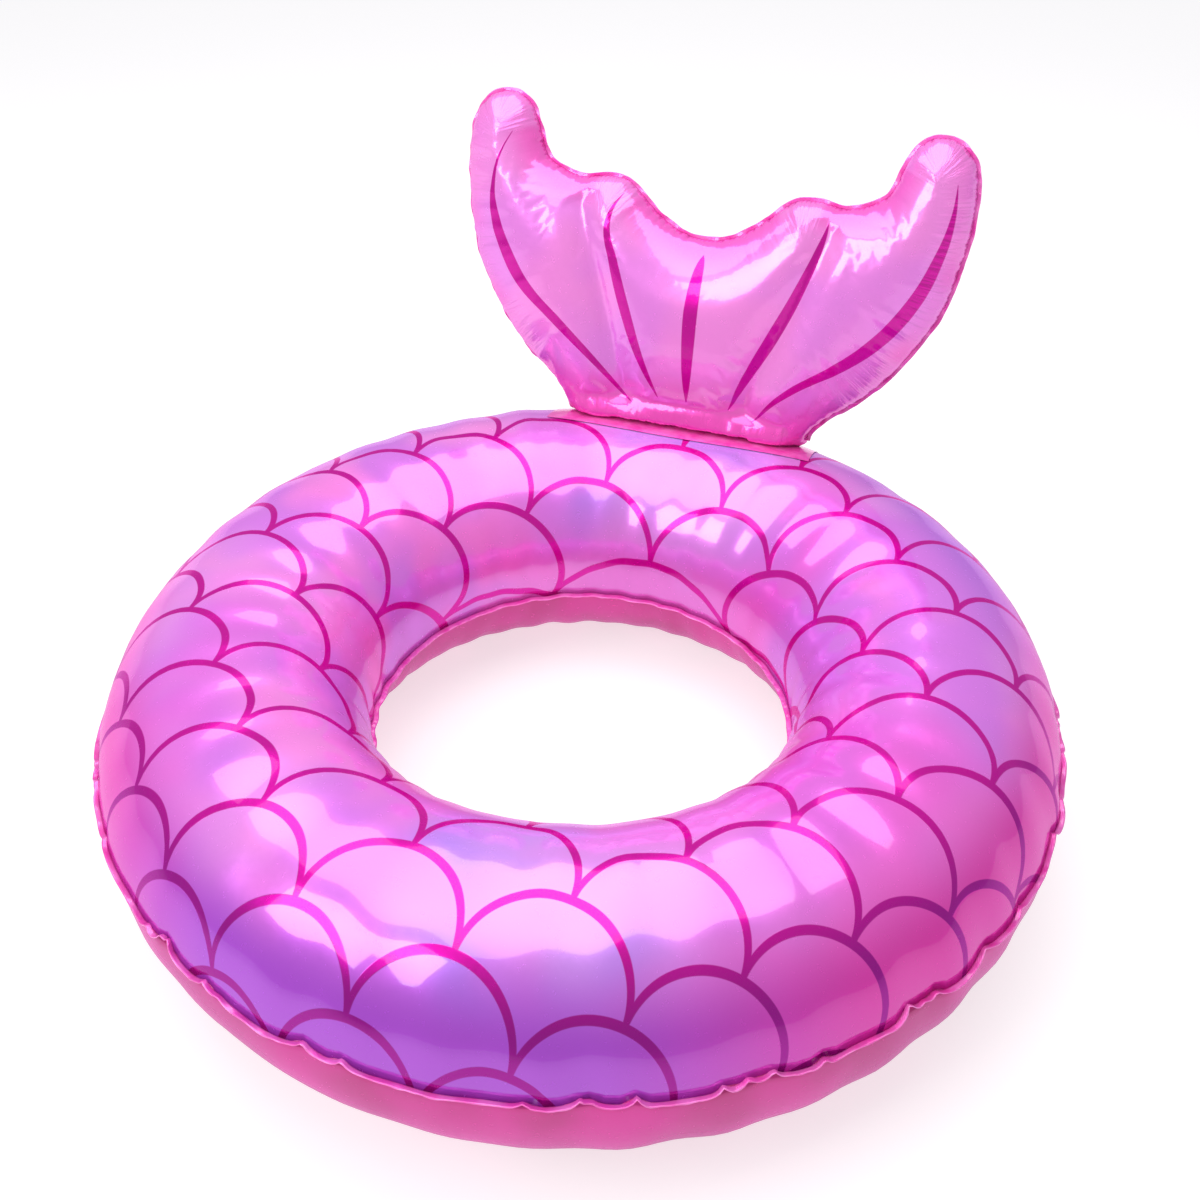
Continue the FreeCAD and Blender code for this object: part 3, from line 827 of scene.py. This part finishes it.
def make_tail():
    points, faces, loop = flat_tail()
    gap, side = edge_gap(points, loop)
    on_rim = gap < 0.01
    count = len(points)
    behind = np.where(on_rim, np.arange(count), -1)
    behind[~on_rim] = count + np.arange((~on_rim).sum())
    half = start_half(points, gap)
    half[on_rim] = 0
    start = np.zeros((behind.max() + 1, 3))
    start[behind] = np.column_stack([points, -half])
    start[:count] = np.column_stack([points, half])
    fall = TUBE_RADIUS / MM - np.sqrt((TUBE_RADIUS / MM) ** 2 - start[:, 2] ** 2)
    start[:, 1] -= fall * np.clip(1 - start[:, 1] / FOOT_FALL, 0, 1)
    flat = np.zeros_like(start)
    flat[behind, :2] = flat[:count, :2] = (points - SLACK_CENTRE) * SLACK + SLACK_CENTRE
    fronts, backs = [], []
    for a, b, c in faces:
        if np.cross(points[b] - points[a], points[c] - points[a]) < 0:
            b, c = c, b
        fronts.append((a, b, c))
        backs.append((int(behind[a]), int(behind[c]), int(behind[b])))
    start_places = off_the_tube(tail_to_row(start), TAIL_GAP)
    mesh = bpy.data.meshes.new("tail_skins")
    mesh.from_pydata(start_places.tolist(), [], fronts + backs)
    skins = bpy.data.objects.new("tail_skins", mesh)
    bpy.context.scene.collection.objects.link(skins)
    welded = np.nonzero((web_gap(points) < GRIP) | (points[:, 1] < HELD_UP))[0]
    held = set(welded) | set(behind[welded])
    blown = blow_up(skins, tail_to_row(flat), held)
    whole = np.zeros(len(start), int)
    whole[behind] = np.arange(count)
    whole[:count] = np.arange(count)
    facing = np.where(np.arange(len(start)) < count, 1, -1)
    facing[:count][on_rim] = 0
    raised = edge_puckers(points[whole], gap[whole], side[whole], loop) * facing
    blown = blown + (raised * MM)[:, None] * np.array(TAIL_FRONT)
    blown = seat_for_valve(blown, np.arange(len(start)) >= count)
    move_points(skins, off_the_tube(blown, TAIL_GAP))
    apply_modifier(skins, "finer", "SUBSURF", levels=1, render_levels=1)
    return skins, len(fronts), loop


def tail_film(skins, name, first, last, hole=None):
    """One of the tail's two films, from the blown-up pair, with its own thickness."""
    film = skins.copy()
    film.data = skins.data.copy()
    film.name = name
    film.data.name = name
    bpy.context.scene.collection.objects.link(film)
    numbers = np.arange(len(film.data.polygons))
    pick_faces(film, (numbers < first) | (numbers >= last))
    bpy.ops.mesh.delete(type="FACE")
    bpy.ops.object.mode_set(mode="OBJECT")
    if hole:
        open_for_valve(film, hole, 1)
    thicken(film, FILM)
    return film


# The printed rays: across, up and half width at points along each, from the foot.
RAYS = [
    [
        (-57, 3, 0.5),
        (-100, 38, 3.6),
        (-150, 78, 5.2),
        (-190, 112, 6.2),
        (-215, 150, 6.4),
        (-228, 180, 5.4),
        (-233, 215, 2.6),
        (-217, 275, 0.3),
    ],
    [
        (-27, 12, 0.5),
        (-50, 50, 4),
        (-72, 100, 5.8),
        (-90, 150, 5.2),
        (-101, 187, 3.4),
        (-90, 230, 0.3),
    ],
    [(6, 12, 0.8), (3, 70, 7), (2, 120, 7.4), (5, 175, 0.4)],
    [(53, 12, 0.5), (70, 50, 4.2), (93, 100, 6), (113, 150, 5.2), (128, 200, 3), (132, 225, 0.3)],
    [
        (81, 3, 0.5),
        (120, 40, 3.6),
        (165, 72, 5.2),
        (200, 105, 6.2),
        (230, 150, 6.4),
        (248, 200, 4.8),
        (255, 240, 2.6),
        (254, 275, 0.3),
    ],
]
RAY_SPAN = (-20, 300)
VIEW_SLIP = 0.51  # the print climbs by this share of the film's bulge


def curve_wire(wire, pairs, low, high):
    """A value that follows given points, all within low and high, over RAY_SPAN."""
    first, last = RAY_SPAN
    at = (wire - first) / (last - first)
    node = at.node("FloatCurve", values={"Value": at}).socket.node
    curve = node.mapping.curves[0]
    spots = [((up - first) / (last - first), (value - low) / (high - low)) for up, value in pairs]
    curve.points[0].location = spots[0]
    curve.points[-1].location = spots[-1]
    for spot in spots[1:-1]:
        curve.points.new(*spot)
    node.mapping.update()
    return Wire(wire.tree, node.outputs[0]) * (high - low) + low


def tail_places(place):
    """Across, up and in front of the tail's foot, in millimetres."""
    turn = (math.pi / 2 - TAIL_LEAN, 0, 0)
    values = {"Vector": place, "Location": tuple(TAIL_FOOT), "Rotation": turn}
    turned = place.node("Mapping", {"vector_type": "TEXTURE"}, values)
    return [part * (1 / MM) for part in turned.parts()]


def level_halves(ray):
    """A ray's half widths measured level across the tail, with the height of each."""
    across, up, half = np.array(ray).T
    slope = np.gradient(across, up)
    return list(zip(up, half * np.sqrt(1 + slope**2)))


def tail_print():
    """Pearly pink film, hot pink towards its foot, with five printed rays; hot pink towards its edge
    is painted shade, for film seen edge-on.
    """
    material, shader, place = vinyl("tail_film_print", CLEAR_VINYL)
    across, up, front = tail_places(place)
    seen_up = up - front * VIEW_SLIP
    ink = None
    for ray in RAYS:
        centre = curve_wire(seen_up, [(v, u) for u, v, _ in ray], -300, 300)
        half = curve_wire(seen_up, level_halves(ray), 0, 20)
        within = (half - abs(across - centre)).between(-0.4, 0.4)
        low, high = ray[0][1], ray[-1][1]
        stroke = within * (seen_up.between(low - 1, low) * (1 - seen_up.between(high, high + 1)))
        ink = stroke if ink is None else ink.high(stroke)
    rim, run, bay = (
        place.node("Attribute", {"attribute_name": name}, output=2) for name in ("rim", "run", "bay")
    )
    # Painted shade: hot pink towards the tail's edge, less in its bays, stands for the deeper pink of
    # film seen edge-on where the tail curves away.
    edge_shade = (1 - rim.between(2, 38)) * (1 - bay * 0.6)
    foot = 1 - up.between(6, 64)
    cloud = noise(place, 8.0).between(0.4, 0.62)
    pearl = cloud.blend(TAIL_PINK, TAIL_LILAC)
    pearl = (edge_shade * 0.75).blend(pearl, HOT_PINK)
    pearl = (foot * 0.9).blend(pearl, HOT_PINK)
    feed(shader, "Base Color", ink.blend(pearl, INK))
    film_gloss(shader, place, ink)
    strip = run.node("CombineXYZ", values={0: run * (1 / 9), 1: rim * (1 / 70)})
    wrinkle = strip.node("TexNoise", {"noise_dimensions": "2D"}, {"Vector": strip, "Scale": 1.0})
    fold = abs(wrinkle - 0.5)
    reach = (1 - rim.between(14, 46)) * rim.between(1, 5)
    film_bumps(shader, place, ink, fold * reach * (bay * 12 + 1.5))
    return material


def measure_rim(film, loop):
    """Stores how far each point is in from the tail's edge and along it, in millimetres."""
    flat = ((points_of(film) - np.array(TAIL_FOOT)) @ TAIL_AXES[:2].T) / MM
    gap, side = edge_gap(flat, loop)
    bay = np.clip(hollow_edge(loop) * BAY_GAIN, 0, 1)
    measures = {
        "rim": gap,
        "run": side * TAIL_SPACING,
        "bay": np.interp(side, np.arange(len(loop) + 1), np.append(bay, bay[0])),
    }
    for name, values in measures.items():
        attribute = film.data.attributes.new(name, "FLOAT", "POINT")
        attribute.data.foreach_set("value", values.astype(np.float32))


def tail_weld_ribbon(skins, loop):
    """The tail's welded edge, from under its foot round to the foot's end, rippled."""
    kept = [number for number, (_, up) in enumerate(loop) if up > RIBBON_LOW]
    breaks = [place for place in range(1, len(kept)) if kept[place] != kept[place - 1] + 1]
    order = kept[breaks[0] :] + kept[: breaks[0]]
    rim = points_of(skins)[order]
    along = np.gradient(rim, axis=0)
    along /= np.linalg.norm(along, axis=1)[:, None]
    outward = np.cross(along, np.array(TAIL_FRONT))
    middle = np.array(TAIL_FOOT + TAIL_UP * VALVE_UP * MM)
    if ((rim - middle) * outward).sum() < 0:
        outward = -outward
    run = np.arange(len(order)) * TAIL_SPACING
    rows = []
    for row in range(SEAM_ROWS + 1):
        share = row / SEAM_ROWS
        sway = 1.5 * MM * np.sin(run / 5.2 + 2 * np.sin(run / 23)) * share
        sway += 0.8 * MM * np.sin(run / 2.9 + 2 * np.sin(run / 11)) * share
        reach = (TAIL_WELD + RIBBON_ROOT) * share - RIBBON_ROOT
        reach = reach * (1 + 0.1 * np.sin(run / 7.1) * share)
        rows.append(rim + outward * reach[:, None] + sway[:, None] * np.array(TAIL_FRONT))
    count = len(order)
    faces = [
        (r * count + k, r * count + k + 1, (r + 1) * count + k + 1, (r + 1) * count + k)
        for r in range(SEAM_ROWS)
        for k in range(count - 1)
    ]
    mesh = bpy.data.meshes.new("tail_edge_weld")
    mesh.from_pydata(np.concatenate(rows).tolist(), [], faces)
    ribbon = bpy.data.objects.new("tail_edge_weld", mesh)
    bpy.context.scene.collection.objects.link(ribbon)
    apply_modifier(ribbon, "wall", "SOLIDIFY", thickness=SEAM_THICKNESS, offset=0)
    apply_modifier(ribbon, "finer", "SUBSURF", levels=1, render_levels=1)
    lone(ribbon)
    bpy.ops.object.shade_smooth()
    return ribbon


def bend_at_foot(piece):
    """Bakes the piece's transform into its mesh."""
    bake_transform(piece)


def dress_tail(weld):
    skins, front_count, loop = make_tail()
    per_face = 3  # each triangle was cut into this many four-sided faces
    total = len(skins.data.polygons)
    front = tail_film(skins, "tail_printed_film", 0, front_count * per_face)
    valve = TAIL_FOOT + TAIL_UP * VALVE_UP * MM - TAIL_FRONT * VALVE_BACK * MM
    back = tail_film(skins, "tail_plain_film", front_count * per_face, total, valve)
    for film in (front, back):
        measure_rim(film, loop)
    finish_piece(front, tail_print(), "tail_film", "tail_front_film")
    back_film = plain_film("tail_back_film", BACK_PINK, WELD_PINK)
    finish_piece(back, back_film, "clear_pink_film", "tail_back_film")
    ribbon = tail_weld_ribbon(skins, loop)
    finish_piece(ribbon, weld, "weld", "tail_edge_seam")
    bpy.data.objects.remove(skins)
    for piece in (front, back, ribbon):
        bend_at_foot(piece)


# ---------------------------------------------------------------- carried-over pieces


def dress_cad_nodes(weld):
    """Finishes for the pieces that keep their own shape."""
    vinyl_of_valves = valve_vinyl()
    for name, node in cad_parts.items():
        if node.hide_render:
            continue
        node.data.materials.clear()
        node.data.materials.append(vinyl_of_valves if "valve" in name else weld)


# ---------------------------------------------------------------- camera and light

EYE_HEIGHT = math.radians(41.86)
EYE_TURN = math.radians(19.3)
EYE_DISTANCE = 1.388
EYE_ROLL = math.radians(0.55)
EYE_PAN = math.radians(0.79)
EYE_TILT = math.radians(-4.26)
LENS = 42


def place_camera():
    back = Vector((0, -math.cos(EYE_HEIGHT), math.sin(EYE_HEIGHT)))
    right = Vector((1, 0, 0))
    axes = Matrix((right, back.cross(right), back))
    lean = (
        Matrix.Rotation(EYE_ROLL, 3, "Z")
        @ Matrix.Rotation(EYE_TILT, 3, "X")
        @ Matrix.Rotation(EYE_PAN, 3, "Y")
    )
    about = Matrix.Rotation(EYE_TURN, 3, "Z")
    camera = bpy.data.objects.new("camera", bpy.data.cameras.new("camera"))
    camera.data.lens = LENS
    camera.data.sensor_width = 36
    camera.matrix_world = (about @ (lean @ axes).transposed()).to_4x4()
    camera.location = about @ (back * EYE_DISTANCE) + Vector((0, 0, TUBE_HEIGHT))
    bpy.context.scene.collection.objects.link(camera)
    bpy.context.scene.camera = camera


def soft_lamp(name, place, size, power, colour, towards=(0, 0, 0.15)):
    light = bpy.data.lights.new(name, "AREA")
    light.shape = "RECTANGLE"
    light.size, light.size_y = size
    light.energy = power
    light.color = colour
    lamp = bpy.data.objects.new(name, light)
    lamp.location = place
    aim = Vector(towards) - Vector(place)
    lamp.rotation_euler = aim.to_track_quat("-Z", "Y").to_euler()
    bpy.context.scene.collection.objects.link(lamp)


def light_studio():
    world = bpy.data.worlds.new("studio")
    world.use_nodes = True
    background = world.node_tree.nodes["Background"]
    background.inputs["Color"].default_value = (0.97, 0.94, 1.0, 1)
    background.inputs["Strength"].default_value = 0.55
    bpy.context.scene.world = world
    bpy.context.scene.view_settings.view_transform = "Standard"
    soft_lamp("overhead", (-0.2, 0.2, 1.9), (2.2, 2.2), 34, (1, 0.97, 0.99))
    soft_lamp("front", (-1.1, -1.5, 1.7), (1.2, 1.0), 17, (1, 0.96, 0.99))


def lay_floor():
    bpy.ops.object.select_all(action="DESELECT")
    bpy.ops.mesh.primitive_plane_add(size=14, location=(0, 0, -0.0005))
    floor = bpy.context.object
    floor.name = "floor"
    material = bpy.data.materials.new("floor")
    material.use_nodes = True
    shader = material.node_tree.nodes["Principled BSDF"]
    shader.inputs["Base Color"].default_value = (0.5, 0.5, 0.5, 1)
    shader.inputs["Emission Color"].default_value = (1, 1, 1, 1)
    shader.inputs["Emission Strength"].default_value = 0.64
    shader.inputs["Roughness"].default_value = 0.9
    shader.inputs["Specular IOR Level"].default_value = 0.1
    floor.data.materials.append(material)


weld = make_ring()
dress_tail(weld)
dress_cad_nodes(weld)
place_camera()
light_studio()
lay_floor()
